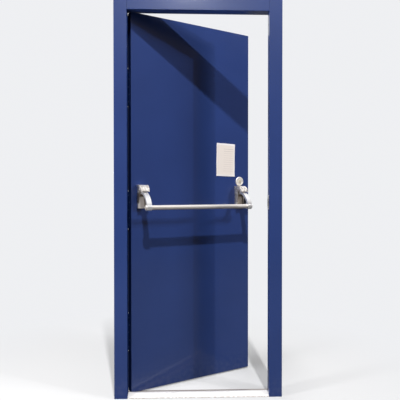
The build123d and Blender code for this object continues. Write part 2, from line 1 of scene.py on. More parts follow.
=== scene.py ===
import json
import math

import bmesh
import bpy
import numpy as np
from bpy.props import FloatProperty, FloatVectorProperty, IntProperty, PointerProperty
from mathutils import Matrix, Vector


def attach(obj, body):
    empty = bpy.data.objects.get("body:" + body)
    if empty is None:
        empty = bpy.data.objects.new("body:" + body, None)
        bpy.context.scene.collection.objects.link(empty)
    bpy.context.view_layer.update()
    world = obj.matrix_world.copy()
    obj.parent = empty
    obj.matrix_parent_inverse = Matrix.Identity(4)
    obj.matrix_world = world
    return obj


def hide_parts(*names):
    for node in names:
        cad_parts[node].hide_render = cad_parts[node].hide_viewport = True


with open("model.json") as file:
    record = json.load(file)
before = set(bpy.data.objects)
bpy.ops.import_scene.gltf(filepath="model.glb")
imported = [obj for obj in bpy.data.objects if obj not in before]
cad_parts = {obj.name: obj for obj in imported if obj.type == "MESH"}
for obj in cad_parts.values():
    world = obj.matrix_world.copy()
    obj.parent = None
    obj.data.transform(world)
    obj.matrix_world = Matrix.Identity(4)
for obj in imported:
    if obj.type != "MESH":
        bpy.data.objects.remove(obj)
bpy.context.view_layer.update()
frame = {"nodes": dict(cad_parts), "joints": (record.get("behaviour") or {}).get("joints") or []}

bl_info = {
    "name": "Fire Exit Door Finisher",
    "version": (1, 0, 0),
    "blender": (4, 5, 0),
    "location": "View3D > Sidebar > Fire Door",
    "description": "Paint, steel finishes, screws, notice sheet and studio for the fire exit door",
    "category": "Object",
}

JOINTS = {joint["name"]: joint for joint in frame["joints"]}
PIN = np.array(JOINTS["leaf_hinge"]["pos_m"][:2])
SWING = -math.radians(JOINTS["leaf_hinge"]["range_deg"][0])
HINGES = ("bottom", "middle", "top")
HOUSINGS = ("hinge_side", "lock_side")

# Directions of the frame: across the doorway, through it and up
ACROSS = np.array([1.0, 0.0, 0.0])
THROUGH = np.array([0.0, 1.0, 0.0])
UP = np.array([0.0, 0.0, 1.0])

# Directions of the leaf as it stands: along it from the hinge edge, and out from its push face
ALONG = np.array([math.cos(SWING), math.sin(SWING), 0.0])
OUT = np.array([math.sin(SWING), -math.cos(SWING), 0.0])

# How far the pins' axis lies before the leaf's hinge edge and behind its push face, in metres
PIN_ASIDE = 0.0025
PIN_BEHIND = 0.053


def leaf_place(along, out, height):
    """Places on the leaf as it stands, from distances along it, out from its push face and up; each
    is a number or an array."""
    along, out, height = (np.asarray(value, float)[..., None] for value in (along, out, height))
    return np.array([*PIN, 0.0]) + (along + PIN_ASIDE) * ALONG + (out + PIN_BEHIND) * OUT + height * UP


def reach(node, direction):
    """The least and the greatest distance of a CAD node from the origin, along a direction."""
    mesh = frame["nodes"][node].data
    points = np.empty(3 * len(mesh.vertices), dtype=np.float32)
    mesh.vertices.foreach_get("co", points)
    distances = points.reshape(-1, 3) @ direction
    return float(distances.min()), float(distances.max())


def middle(node, direction):
    """The middle of a CAD node's reach along a direction."""
    return sum(reach(node, direction)) / 2


# Places on the frame, in metres
LEFT_REVEAL = reach("left_jamb", ACROSS)[1]
SILL_FRONT = reach("threshold", THROUGH)[0]
KEEP_FACE = reach("strike_plate", ACROSS)[0]
KEEP_MIDDLE = middle("strike_plate", THROUGH)
SILL_PLATE_TOP = 0.003

# The leaf's hinge edge and push face, counted from the origin along the leaf and out from it
HINGE_EDGE = float(leaf_place(0.0, 0.0, 0.0) @ ALONG)
PUSH_FACE = float(leaf_place(0.0, 0.0, 0.0) @ OUT)

# Places on the leaf, in metres: along it from the hinge edge, out from its push face, or up
HINGE_HEIGHTS = np.array([middle(f"{which}_hinge_pin", UP) for which in HINGES])
LATCH_HEIGHT = middle("latch_bolt", UP)
CASE_AT = middle("latch_case", ALONG) - HINGE_EDGE
CASE_FACE = reach("latch_case", OUT)[1] - PUSH_FACE
NOTICE_AT = middle("notice_sheet", ALONG) - HINGE_EDGE
NOTICE_HEIGHT = middle("notice_sheet", UP)
HOUSINGS_AT = [middle(f"{side}_cover", ALONG) - HINGE_EDGE for side in HOUSINGS]
BAR_HEIGHT = middle("push_tube", UP)

# The hinge plates: how far their faces lie from the pins' axis, and where their screws sit
HINGE_FACE = 0.0005
HINGE_SCREW_ROW = 0.0298
HINGE_SCREW_SWAY = 0.0055
HINGE_SCREW_LIFTS = (-0.080, -0.042, 0.0, 0.042, 0.080)

# The other screws: above and below the bolt's middle, and along the sill
KEEP_SCREW_LIFTS = (-0.0325, 0.0325)
CASE_SCREW_LIFTS = (-0.021, 0.021)
SILL_SCREWS_ACROSS = (-0.30, -0.10, 0.10, 0.30)
SILL_SCREW_ROW = 0.030

# The gasket's middle, along the leaf and out from its push face; where its first run starts, its last
# one ends and the others stop short of a hinge's middle; and the corners of its outline
GASKET_AT = -0.00145
GASKET_OUT = -0.04215
GASKET_FOOT = 0.020
GASKET_TOP = 2.060
GASKET_CLEAR = 0.108
GASKET_CORNERS = 24

# The notice sheet: its height off the paint, the least that may be, its waves, and its thickness
SHEET_OFF = 0.0004
SHEET_NEAREST = 0.00025
SHEET_WAVE = 0.00035
SHEET_THICKNESS = 0.00016

# Screw heads, as shares of their radius: half the length and width of the recess's bars, and the
# height of the rim; each head is turned on from the one before it by the golden angle
RECESS_LENGTH = 0.58
RECESS_WIDTH = 0.15
RIM_HEIGHT = 0.035
FIRST_TURN = 0.4
GOLDEN_ANGLE = math.radians(137.5)


# Settings

def length_setting(name, description, default, least=0.0):
    """A setting in metres."""
    return FloatProperty(name=name, description=description, default=default, min=least, unit="LENGTH")


def colour_setting(name, description, *default):
    """A setting of red, green and blue, as linear light."""
    return FloatVectorProperty(
        name=name, description=description, default=default, subtype="COLOR", size=3)


def power_setting(name, description, default):
    """A setting in watts."""
    return FloatProperty(name=name, description=description, default=default, min=0.0, unit="POWER")


class DoorSizes(bpy.types.PropertyGroup):
    """Sizes of the pieces that are added to the model"""

    hinge_screw: length_setting(
        "Hinge screw radius", "Radius of a countersunk head in a hinge plate", 0.0047, 0.001)
    keep_screw: length_setting(
        "Keep screw radius", "Radius of a countersunk head in the keep", 0.0036, 0.001)
    sill_screw: length_setting(
        "Sill screw radius", "Radius of a countersunk head in the sill", 0.0045, 0.001)
    case_screw: length_setting(
        "Case screw radius", "Radius of a domed head in the latch case", 0.0032, 0.001)
    gasket_width: length_setting("Gasket width", "Width of the strip, across the hinge gap", 0.0035)
    gasket_depth: length_setting("Gasket depth", "Depth of the strip, through the leaf", 0.0033)
    sheet_width: length_setting("Sheet width", "Width of the paper notice", 0.130)
    sheet_height: length_setting("Sheet height", "Height of the paper notice", 0.198)
    sheet_curl: length_setting("Sheet curl", "How far a loose corner of the notice lifts", 0.0035)
    sheet_tilt: FloatProperty(
        name="Sheet tilt", description="How far the notice hangs askew, clockwise",
        default=math.radians(1.0), subtype="ANGLE")
    rounds: IntProperty(
        name="Screw facets", description="Corners round a screw head", default=32, min=16)


class DoorColours(bpy.types.PropertyGroup):
    """Colours of the finishes, as linear light"""

    paint: colour_setting("Paint", "Blue powder coat", 0.016, 0.040, 0.164)
    steel: colour_setting("Stainless steel", "Satin stainless steel", 0.62, 0.61, 0.59)
    sill: colour_setting("Sill", "Trodden stainless steel", 0.95, 0.93, 0.91)
    warm_steel: colour_setting(
        "Polished steel", "Polished steel of the hoods and the bar", 0.90, 0.85, 0.80)
    chrome: colour_setting("Chrome", "Bright arms", 0.95, 0.94, 0.94)
    plating: colour_setting("Plated steel", "Brackets, pivots and bolt", 0.44, 0.36, 0.30)
    zinc: colour_setting("Zinc", "Spacer tubes", 0.48, 0.49, 0.50)
    dark: colour_setting("Dark casting", "Dark plated latch case", 0.06, 0.06, 0.07)
    cream: colour_setting("Rosette", "Pale satin rosettes", 0.86, 0.82, 0.76)
    brass: colour_setting("Cylinder", "Satin brass of the lock barrel", 0.84, 0.76, 0.60)
    screw: colour_setting("Screws", "Bare steel screws", 0.55, 0.55, 0.54)
    dark_screw: colour_setting("Dark screws", "Screws of the latch case", 0.16, 0.16, 0.17)
    paper: colour_setting("Paper", "Warm white paper", 0.79, 0.715, 0.655)
    rubber: colour_setting("Rubber", "Black seals", 0.02, 0.02, 0.02)
    board: colour_setting("Board", "Filling of the leaf", 0.45, 0.33, 0.20)


class DoorStudio(bpy.types.PropertyGroup):
    """Camera, lamps and backdrop"""

    camera_place: FloatVectorProperty(
        name="Camera place", description="Where the camera stands",
        default=(-0.0727034, -2.451653, 1.0832993), subtype="TRANSLATION", size=3)
    camera_turn: FloatVectorProperty(
        name="Camera turn", description="Pitch, roll and yaw of the camera",
        default=(math.pi / 2 - 0.0114, 0.0004, -0.0335), subtype="EULER", size=3)
    focal_length: FloatProperty(
        name="Focal length", description="On a 36 mm wide sensor", default=40.780,
        subtype="DISTANCE_CAMERA")
    top_lamp: power_setting("Top lamp", "The far steep lamp in front, the strongest", 850.0)
    side_lamp: power_setting("Side lamp", "The small lamp at the right", 104.0)
    soft_side_lamp: power_setting("Soft side lamp", "The wide lamp at the right", 66.0)
    front_lamp: power_setting("Front lamp", "The low lamp that the head mirrors", 20.0)
    left_lamp: power_setting("Left lamp", "The broad lamp at the left", 92.0)
    back_lamp: power_setting("Back lamp", "The broad lamp behind the door", 75.0)
    fill: FloatProperty(
        name="Fill", description="Brightness of the surroundings", default=0.05, min=0.0, max=1.0,
        subtype="FACTOR")
    pale: colour_setting("Backdrop", "Colour of the backdrop", 0.860, 0.868, 0.890)
    dim: colour_setting(
        "Dark side", "What polished pieces mirror from the camera's side", 0.13, 0.105, 0.095)


# Mesh work

def grid_faces(rows, columns, closed):
    """Quads between neighbours of a rows by columns grid; closed joins the last column to the first."""
    row = np.arange(rows - 1)[:, None]
    column = np.arange(columns if closed else columns - 1)[None, :]
    beside = (column + 1) % columns
    corners = (row * columns + column, row * columns + beside,
               (row + 1) * columns + beside, (row + 1) * columns + column)
    return np.stack(np.broadcast_arrays(*corners), axis=-1).reshape(-1, 4)


def repeated_faces(rows, columns, copies):
    """The faces of several like grids, each closed round, one after the other."""
    one = grid_faces(rows, columns, True)
    return (one + rows * columns * np.arange(copies)[:, None, None]).reshape(-1, 4)


def new_piece(name, points, faces, material, uv=None):
    """A mesh object at the origin, its doubles merged and its faces turned outwards."""
    mesh = bpy.data.meshes.new(name)
    mesh.from_pydata(points.reshape(-1, 3).tolist(), [], faces.tolist())
    if uv is not None:
        layer = mesh.uv_layers.new(name="sheet")
        loops = np.empty(len(mesh.loops), dtype=np.int64)
        mesh.loops.foreach_get("vertex_index", loops)
        layer.data.foreach_set("uv", uv.reshape(-1, 2)[loops].astype(np.float32).ravel())
    shape = bmesh.new()
    shape.from_mesh(mesh)
    bmesh.ops.remove_doubles(shape, verts=shape.verts, dist=1e-7)
    bmesh.ops.recalc_face_normals(shape, faces=shape.faces)
    shape.to_mesh(mesh)
    shape.free()
    mesh.materials.append(material)
    piece = bpy.data.objects.new(name, mesh)
    bpy.context.scene.collection.objects.link(piece)
    return piece


def smooth_by_angle(piece, angle):
    """Smooth shading, with an edge kept sharp where its faces meet at more than the angle."""
    piece.data.shade_smooth()
    piece.data.set_sharp_from_angle(angle=angle)


def cross_radius(turn, length, width):
    """Distance from the middle to the outline of a plus sign of two bars, along each direction."""
    c = np.maximum(np.abs(np.cos(turn)), 1e-9)
    s = np.maximum(np.abs(np.sin(turn)), 1e-9)
    return np.maximum(np.minimum(length / c, width / s), np.minimum(length / s, width / c))


def screw_rings(radius, dome, rounds):
    """Rings of a cross recessed screw head, out of the plate along the third axis.

    The rings run from the floor of the recess up its walls, out over a dome whose height falls
    with the square of the distance from the middle, over a narrow rim, and down a cone to a
    point in the plate.
    """
    turn = np.arange(rounds) * (2 * math.pi / rounds)
    recess = cross_radius(turn, RECESS_LENGTH * radius, RECESS_WIDTH * radius)
    circle = np.ones(rounds)
    rim = RIM_HEIGHT * radius

    def height(r):
        return rim + dome * radius * (1 - (r / radius) ** 2)

    rings = [
        (0 * circle, -0.42 * radius * circle),
        (0.62 * recess, -0.40 * radius * circle),
        (recess, height(recess) - 0.03 * radius),
        (1.06 * recess, height(1.06 * recess)),
        (0.72 * radius * circle, height(0.72 * radius * circle)),
        (0.95 * radius * circle, height(0.95 * radius * circle)),
        (radius * circle, 0.3 * rim * circle),
        (0.5 * radius * circle, -0.5 * radius * circle),
        (0 * circle, -0.5 * radius * circle),
    ]
    r = np.stack([ring[0] for ring in rings])
    z = np.stack([ring[1] for ring in rings])
    return np.stack([r * np.cos(turn), r * np.sin(turn), z], axis=-1)


def screws(name, seats, outward, radius, dome, material):
    """One mesh of like screws: each head is the same rings, turned by the golden angle times its
    number."""
    rings = screw_rings(radius, dome, bpy.context.scene.door_sizes.rounds)
    across = np.cross(UP, outward)
    if np.linalg.norm(across) < 0.1:
        across = ACROSS
    across = across / np.linalg.norm(across)
    upward = np.cross(outward, across)
    turn = np.arange(len(seats)) * GOLDEN_ANGLE + FIRST_TURN
    first = np.cos(turn)[:, None] * across + np.sin(turn)[:, None] * upward
    second = -np.sin(turn)[:, None] * across + np.cos(turn)[:, None] * upward
    points = (np.asarray(seats, float)[:, None, None, :]
              + rings[None, ..., 0:1] * first[:, None, None, :]
              + rings[None, ..., 1:2] * second[:, None, None, :]
              + rings[None, ..., 2:3] * outward)
    piece = new_piece(name, points, repeated_faces(*rings.shape[:2], len(seats)), material)
    smooth_by_angle(piece, math.radians(28))
    return piece


def place_piece(piece, body, slot, *nodes):
    """Rides the piece on its body and hides the nodes it stands for; the slot is not used."""
    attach(piece, body)
    if nodes:
        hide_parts(*nodes)


# Shader work

class Number:
    """A socket that holds a number; Python operators on it add Math nodes."""

    def __init__(self, tree, socket):
        self.tree = tree
        self.socket = socket

    def math(self, operation, *values, clamp=False):
        """A Math node that works the operation on numbers and sockets."""
        node = self.tree.nodes.new("ShaderNodeMath")
        node.operation = operation
        node.use_clamp = clamp
        for at, value in enumerate(values):
            if isinstance(value, Number):
                self.tree.links.new(value.socket, node.inputs[at])
            else:
                node.inputs[at].default_value = value
        return Number(self.tree, node.outputs[0])

    def __add__(self, other):
        return self.math("ADD", self, other)

    def __radd__(self, other):
        return self.math("ADD", other, self)

    def __sub__(self, other):
        return self.math("SUBTRACT", self, other)

    def __rsub__(self, other):
        return self.math("SUBTRACT", other, self)

    def __mul__(self, other):
        return self.math("MULTIPLY", self, other)

    def __rmul__(self, other):
        return self.math("MULTIPLY", other, self)

    def __truediv__(self, other):
        return self.math("DIVIDE", self, other)

    def __pow__(self, other):
        return self.math("POWER", self, other)

    def clamped(self):
        return self.math("ADD", self, 0.0, clamp=True)

    def size(self):
        return self.math("ABSOLUTE", self)

    def most(self, other):
        return self.math("MAXIMUM", self, other)

    def wrapped(self):
        return self.math("FRACT", self)

    def ramp(self, low, high):
        """0 at low and 1 at high, eased at both ends."""
        node = self.tree.nodes.new("ShaderNodeMapRange")
        node.interpolation_type = "SMOOTHSTEP"
        self.tree.links.new(self.socket, node.inputs["Value"])
        node.inputs["From Min"].default_value = low
        node.inputs["From Max"].default_value = high
        return Number(self.tree, node.outputs["Result"])


class Finish:
    """A material, or the world, with calls that add nodes to it."""

    def __init__(self, name, world=False):
        maker = bpy.data.worlds if world else bpy.data.materials
        self.block = maker.new(name)
        self.block.use_nodes = True
        self.tree = self.block.node_tree
        self.tree.nodes.clear()
        kind = "ShaderNodeOutputWorld" if world else "ShaderNodeOutputMaterial"
        self.output = self.tree.nodes.new(kind)

    def node(self, kind, settings=None, inputs=None, output=0):
        """A node of a type: its settings are set first, then the values or links of its sockets."""
        node = self.tree.nodes.new("ShaderNode" + kind)
        for key, value in (settings or {}).items():
            setattr(node, key, value)
        for key, value in (inputs or {}).items():
            socket = node.inputs[key]
            source = value.socket if isinstance(value, Number) else value
            if isinstance(source, bpy.types.NodeSocket):
                self.tree.links.new(source, socket)
            else:
                socket.default_value = source
        return node.outputs[output]

    def number(self, *arguments, **named):
        return Number(self.tree, self.node(*arguments, **named))

    def coordinates(self, origin=(0, 0, 0), turn=0.0, lengths=(1, 1, 1)):
        """Places on the piece from an origin, turned about the vertical, counted in given lengths."""
        place = self.node("TexCoord", output="Object")
        return self.node("Mapping", {"vector_type": "TEXTURE"}, {
            "Vector": place, "Location": tuple(origin), "Rotation": (0, 0, turn),
            "Scale": tuple(lengths)})

    def axes(self, vector):
        split = self.tree.nodes.new("ShaderNodeSeparateXYZ")
        self.tree.links.new(vector, split.inputs[0])
        return [Number(self.tree, socket) for socket in split.outputs]

    def noise(self, vector, scale=1.0, detail=2.0, roughness=0.5):
        return self.number("TexNoise", None, {
            "Vector": vector, "Scale": scale, "Detail": detail, "Roughness": roughness}, output="Fac")

    def mix(self, factor, first, second):
        """A colour between two."""
        node = self.tree.nodes.new("ShaderNodeMix")
        node.data_type = "RGBA"
        for key, value in ((0, factor), (6, first), (7, second)):
            source = value.socket if isinstance(value, Number) else value
            if isinstance(source, bpy.types.NodeSocket):
                self.tree.links.new(source, node.inputs[key])
            else:
                node.inputs[key].default_value = source if key == 0 else (*source, 1.0)
        return node.outputs[2]

    def bump(self, height, distance, normal=None):
        inputs = {"Height": height, "Distance": distance}
        if normal is not None:
            inputs["Normal"] = normal
        return self.node("Bump", None, inputs)

    def surface(self, veil=None, veil_colour=(0, 0, 0), **inputs):
        """The Principled shader of the material, with its inputs by their names, spaces as
        underscores; where the veil is 1 it gives way to a dull diffuse colour: painted shade on the
        leaf's hinge edge and the reveal, and paint darkened as painted shade on the hinge plates."""
        named = {key.replace("_", " "): value for key, value in inputs.items()}
        for key in ("Base Color", "Emission Color"):
            if key in named and not isinstance(named[key], bpy.types.NodeSocket):
                named[key] = (*named[key], 1.0)
        shader = self.node("BsdfPrincipled", None, named)
        if veil is not None:
            dull = self.node("BsdfDiffuse", None, {"Color": (*veil_colour, 1.0)})
            shader = self.node("MixShader", None, {0: veil, 1: shader, 2: dull})
        self.tree.links.new(shader, self.output.inputs["Surface"])
        return self.block


def tint(colour, factor):
    """A colour times a number, as a plain tuple."""
    return tuple(channel * factor for channel in colour)


# Finishes

# Colours that the patterns mix in
DUST = (0.30, 0.29, 0.27)
# Painted shade and reflection: brown on the bar's underside
BAR_UNDERSIDE_SHADE = (0.40, 0.32, 0.26)
# Painted reflections on the hoods: brown on the panel and the crown; a painted highlight, white, on the
# left cheek; and painted shade and reflection, dark brown, beside that cheek
HOOD_PANEL_REFLECTION = (0.42, 0.34, 0.27)
HOOD_CROWN_REFLECTION = (0.32, 0.26, 0.23)
HOOD_CHEEK_HIGHLIGHT = (0.97, 0.97, 0.98)
HOOD_STREAK_SHADE = (0.09, 0.055, 0.03)
# Painted shade: dark brown on the sill behind its ramp
SILL_BACK_SHADE = (0.20, 0.14, 0.11)
SILL_DIRT = (0.30, 0.22, 0.17)
PAPER_EDGE = (0.88, 0.86, 0.90)
PAPER_LINES = (0.30, 0.22, 0.22)


def powder_coat(name, colour, origin, turn):
    """Blue powder coat: slow cloudiness, orange peel, faint wipe marks, dust at the foot, and painted
    shade, a dull darker blue, on the leaf's hinge edge and on the reveal beside it."""
    finish = Finish(name)
    place = finish.coordinates(origin, turn)
    x, y, z = finish.axes(place)
    # 0 at the leaf's hinge edge and at the left reveal, where the paint gives way to painted shade
    clear_of_edge_shade = x.ramp(0.0003, 0.0012) if turn else (x - LEFT_REVEAL).size().ramp(0.0004, 0.0010)
    cloud = finish.noise(place, scale=2.4, detail=3.0)
    peel = finish.noise(place, scale=520.0, detail=1.5)
    waves = finish.noise(finish.coordinates(origin, turn, (0.10, 0.10, 0.45)), detail=1.0)
    wipes = finish.noise(finish.coordinates(origin, turn, (0.012, 0.012, 0.30)), detail=3.0)
    specks = finish.noise(place, scale=150.0, detail=3.0, roughness=0.7).ramp(0.66, 0.74)
    foot = 1.0 - z.ramp(0.0, 0.16)
    dust = (foot * finish.noise(place, scale=38.0, detail=4.0).ramp(0.35, 0.75)).clamped()
    base = finish.mix(cloud.ramp(0.25, 0.75), tint(colour, 0.93), tint(colour, 1.07))
    base = finish.mix(specks * 0.25, base, tint(colour, 1.8))
    base = finish.mix(dust * 0.10, base, DUST)
    rough = 0.34 + 0.05 * wipes + 0.04 * cloud + 0.16 * dust
    gloss = (0.80 + 0.25 * (cloud - 0.5)) * (1.0 - dust)
    normal = finish.bump(waves, 0.00045)
    normal = finish.bump(peel, 0.000035, normal=normal)
    # Painted shade: a dull blue at 0.6 of the paint on the hinge edge and the reveal, where the veil is
    # 1
    return finish.surface(
        1.0 - clear_of_edge_shade, tint(colour, 0.6), Base_Color=base, Roughness=rough.clamped(), Normal=normal,
        Coat_Weight=gloss.clamped(), Specular_IOR_Level=0.5, Coat_Roughness=0.13)


def brushed(name, colour, turn=0.0, lengths=(0.05, 0.0004, 0.0004), rough=0.28, grain=0.00001,
            cloudy=0.06, metallic=1.0, paint=None, shaded=None):
    """Brushed steel: fine lines along one direction, with slow clouds in colour and gloss. With a
    paint, the steel is bare only round the axis of the hinge pins and dull paint elsewhere; below
    the heights that shaded gives it is browner, a painted shade and reflection."""
    finish = Finish(name)
    painted = None
    if paint:
        x, y, z = finish.axes(finish.coordinates((PIN[0], PIN[1], 0.0)))
        painted = ((x * x + y * y) ** 0.5).ramp(0.010, 0.014)
    lines = finish.noise(finish.coordinates(turn=turn, lengths=lengths), detail=3.0, roughness=0.6)
    cloud = finish.noise(finish.coordinates(), scale=28.0, detail=3.0)
    smears = finish.noise(finish.coordinates(), scale=70.0, detail=2.0).ramp(0.52, 0.72)
    base = finish.mix(lines.ramp(0.2, 0.8), tint(colour, 1.0 - cloudy), tint(colour, 1.0 + cloudy))
    base = finish.mix(smears * 0.12, base, tint(colour, 0.8))
    roughness = rough + 0.10 * (lines - 0.5) + 0.08 * (cloud - 0.5) + 0.05 * smears
    # Painted shade and reflection: browner below the heights that shaded gives
    if shaded:
        x, y, z = finish.axes(finish.coordinates())
        base = finish.mix((1.0 - z.ramp(*shaded)) * 0.55, base, BAR_UNDERSIDE_SHADE)
    return finish.surface(
        painted, paint or colour, Base_Color=base, Roughness=roughness, Metallic=metallic,
        Normal=finish.bump(lines, grain))


def hood_steel(name, colour):
    """Polished hood: brushed upwards, with painted reflections, soft brown, on its panel and its crown,
    a painted highlight, white, on its left cheek, and painted shade and reflection, dark brown,
    beside that cheek. Across is counted from the middle of each hood, outward from the push face."""
    finish = Finish(name)
    place = finish.coordinates(leaf_place(0.0, 0.0, 0.0), SWING)
    x, y, z = finish.axes(place)
    lines = finish.noise(finish.coordinates(turn=SWING, lengths=(0.0005, 0.0005, 0.03)), detail=3.0)
    patches = finish.noise(place, scale=95.0, detail=2.0)
    first, second = HOUSINGS_AT
    second_hood = x.ramp(0.3, 0.4)
    across = x - first - (second - first) * second_hood
    wavy = across + 0.008 * (patches - 0.5)
    outward = -1.0 * y

    # Masks of the painted reflections on the panel and crown, the painted highlight on the left cheek
    # and the painted shade and reflection beside it
    under_crown = 1.0 - z.ramp(1.080, 1.092)
    panel = under_crown * wavy.ramp(-0.024, -0.019) * outward.ramp(0.0, 0.002)
    panel = panel * (1.0 - outward.ramp(0.030, 0.036))
    crown = z.ramp(1.092, 1.100) * patches.ramp(0.42, 0.58)
    cheek = 1.0 - across.ramp(-0.0225, -0.0205)
    bright = cheek * (1.0 - outward.ramp(0.010, 0.016)) * (1.0 - 0.55 * second_hood)
    corner = 1.0 - (wavy + 0.0205).size().ramp(0.0015, 0.0055)
    beside = corner.most(cheek * outward.ramp(0.013, 0.019))
    streak = beside * z.ramp(1.030, 1.045) * (1.0 - z.ramp(1.088, 1.100))

    base = finish.mix(lines.ramp(0.2, 0.8), tint(colour, 0.96), tint(colour, 1.04))
    # Painted reflections, painted highlight and painted shade mixed into the colour
    base = finish.mix(panel * (0.30 + 0.40 * second_hood) * (0.6 + 0.8 * patches), base, HOOD_PANEL_REFLECTION)
    base = finish.mix(crown * (0.45 + 0.25 * second_hood), base, HOOD_CROWN_REFLECTION)
    base = finish.mix(bright, base, HOOD_CHEEK_HIGHLIGHT)
    base = finish.mix(streak * (0.85 - 0.45 * second_hood), base, HOOD_STREAK_SHADE)
    rough = 0.34 + 0.08 * (lines + patches - 1.0) - 0.18 * bright
    return finish.surface(
        Base_Color=base, Roughness=rough, Metallic=0.5 + 0.5 * bright,
        Normal=finish.bump(lines, 0.000006))


def plated(name, colour, rough=0.30, pitted=0.00002, metallic=1.0):
    """Cast or plated metal: fine pits, mottled gloss."""
    finish = Finish(name)
    place = finish.coordinates()
    pits = finish.noise(place, scale=900.0, detail=2.0)
    mottle = finish.noise(place, scale=90.0, detail=4.0)
    base = finish.mix(mottle.ramp(0.3, 0.7), tint(colour, 0.88), tint(colour, 1.1))
    return finish.surface(
        Base_Color=base, Roughness=rough + 0.14 * (mottle - 0.5), Metallic=metallic,
        Normal=finish.bump(pits, pitted))


def polished(name, colour, rough=0.30, metallic=1.0):
    """Bright satin chrome with faint wiping lines and fingerprints."""
    finish = Finish(name)
    prints = finish.noise(finish.coordinates(), scale=120.0, detail=3.0).ramp(0.50, 0.70)
    fine = finish.noise(finish.coordinates(turn=SWING, lengths=(0.0006, 0.0006, 0.02)), detail=2.0)
    base = finish.mix(prints * 0.15, tint(colour, 1.0), tint(colour, 0.85))
    return finish.surface(
        Base_Color=base, Roughness=rough + 0.07 * prints + 0.04 * fine, Metallic=metallic,
        Normal=finish.bump(fine, 0.000004))


def trodden_steel(name, colour):
    """The sill: steel brushed along its length, scuffed in the middle, darker behind its ramp as
    painted shade, and with a line of dirt along its front corner."""
    finish = Finish(name)
    place = finish.coordinates()
    x, y, z = finish.axes(place)
    lines = finish.noise(finish.coordinates(lengths=(0.06, 0.0005, 0.0005)), detail=3.0)
    scuffs = finish.noise(finish.coordinates(lengths=(0.03, 0.006, 0.03)), detail=4.0, roughness=0.7)
    worn = (1.0 - x.size().ramp(0.12, 0.34)) * scuffs.ramp(0.42, 0.68)
    dirt = finish.noise(place, scale=60.0, detail=4.0).ramp(0.30, 0.62)
    foot = (1.0 - (y - SILL_FRONT).size().ramp(0.001, 0.006)) * dirt
    # Painted shade: darker behind the ramp
    back = y.ramp(-0.006, 0.002)
    base = finish.mix(lines.ramp(0.2, 0.8), tint(colour, 0.92), tint(colour, 1.05))
    base = finish.mix(worn * 0.25, base, tint(colour, 0.85))
    base = finish.mix(back * 0.75, base, SILL_BACK_SHADE)
    base = finish.mix(foot * 0.5, base, SILL_DIRT)
    rough = 0.34 + 0.12 * worn + 0.08 * (lines - 0.5) + 0.2 * foot
    return finish.surface(
        Base_Color=base, Roughness=rough.clamped(), Metallic=0.3 - 0.2 * foot,
        Normal=finish.bump(lines + 0.6 * scuffs, 0.00002))


def matt(name, colour, rough=0.75, grain=400.0, depth=0.00003):
    """Rubber, board and other dull stuff: soft mottling and a fine grain."""
    finish = Finish(name)
    place = finish.coordinates()
    mottle = finish.noise(place, scale=45.0, detail=3.0)
    fine = finish.noise(place, scale=grain, detail=2.0)
    base = finish.mix(mottle, tint(colour, 0.85), tint(colour, 1.15))
    return finish.surface(
        Base_Color=base, Roughness=rough + 0.1 * (mottle - 0.5), Normal=finish.bump(fine, depth))


def ruled_paper(name, colour):
    """Matt paper with faint ruled lines on its right side, heavier near the top, and a whiter edge.
    The sheet's own coordinates run from 0 to 1 across and up."""
    finish = Finish(name)
    s, t, _ = finish.axes(finish.node("UVMap", {"uv_map": "sheet"}))
    fibres = finish.noise(finish.coordinates(), scale=1500.0, detail=2.0)
    stain = finish.noise(finish.coordinates(), scale=30.0, detail=3.0)
    rows = 15.0
    line = 1.0 - ((t * rows).wrapped() - 0.5).size().ramp(0.03, 0.10)
    beside = s.ramp(0.38, 0.40) * (1.0 - s.ramp(0.90, 0.92))
    inside = beside * t.ramp(0.10, 0.11) * (1.0 - t.ramp(0.88, 0.89))
    heavy = t.ramp(0.74, 0.78) * (1.0 - t.ramp(0.90, 0.92))
    edge = (s - 0.5).size().most((t - 0.5).size()).ramp(0.42, 0.485)
    base = finish.mix(stain, tint(colour, 0.985), tint(colour, 1.015))
    base = finish.mix(edge * 0.55, base, PAPER_EDGE)
    base = finish.mix(line * inside * (0.30 + 0.35 * heavy), base, PAPER_LINES)
    return finish.surface(
        Base_Color=base, Roughness=0.62 + 0.1 * fibres, Normal=finish.bump(fibres, 0.00002))


def dress(material, *nodes):
    """Gives a material to carried over nodes, whose meshes stay as they are."""
    for node in nodes:
        mesh = frame["nodes"][node].data
        if len(mesh.materials):
            for at in range(len(mesh.materials)):
                mesh.materials[at] = material
        else:
            mesh.materials.append(material)


# Studio

# Each lamp: its place, the point it faces, its width and height, whether polished pieces mirror it,
# and whether it lights dull surfaces
LAMPS = {
    "top_lamp": ((0.65, -5.0, 9.2), (0.0, 0.15, 1.1), (0.22, 0.22), True, True),
    "side_lamp": ((4.99, -2.72, 4.25), (0.0, 0.15, 1.1), (0.12, 0.12), False, True),
    "soft_side_lamp": ((3.80, -1.55, 3.60), (0.0, 0.15, 1.1), (0.70, 0.30), False, True),
    "front_lamp": ((-0.02, -2.65, 3.55), (0.0, 0.15, 1.0), (0.36, 0.3), True, False),
    "left_lamp": ((-3.0, -1.55, 1.35), (0.0, 0.1, 1.0), (0.5, 0.5), False, True),
    "back_lamp": ((-0.8, 4.2, 3.0), (0.0, 0.2, 1.0), (2.2, 2.2), False, True),
}

# The floor: half its width, and how far it lies under the sill; it fades into the backdrop round a
# middle, between two distances, in metres
FLOOR_HALF = 9.0
FLOOR_BELOW = -0.0004
FADE_MIDDLE = -0.15
FADE = (0.7, 1.9)

# The painted soft shade behind the right jamb: its middle, and how far it reaches across and through
SHADE_MIDDLE = (0.40, 0.42)
SHADE_REACH = (0.40, 0.70)

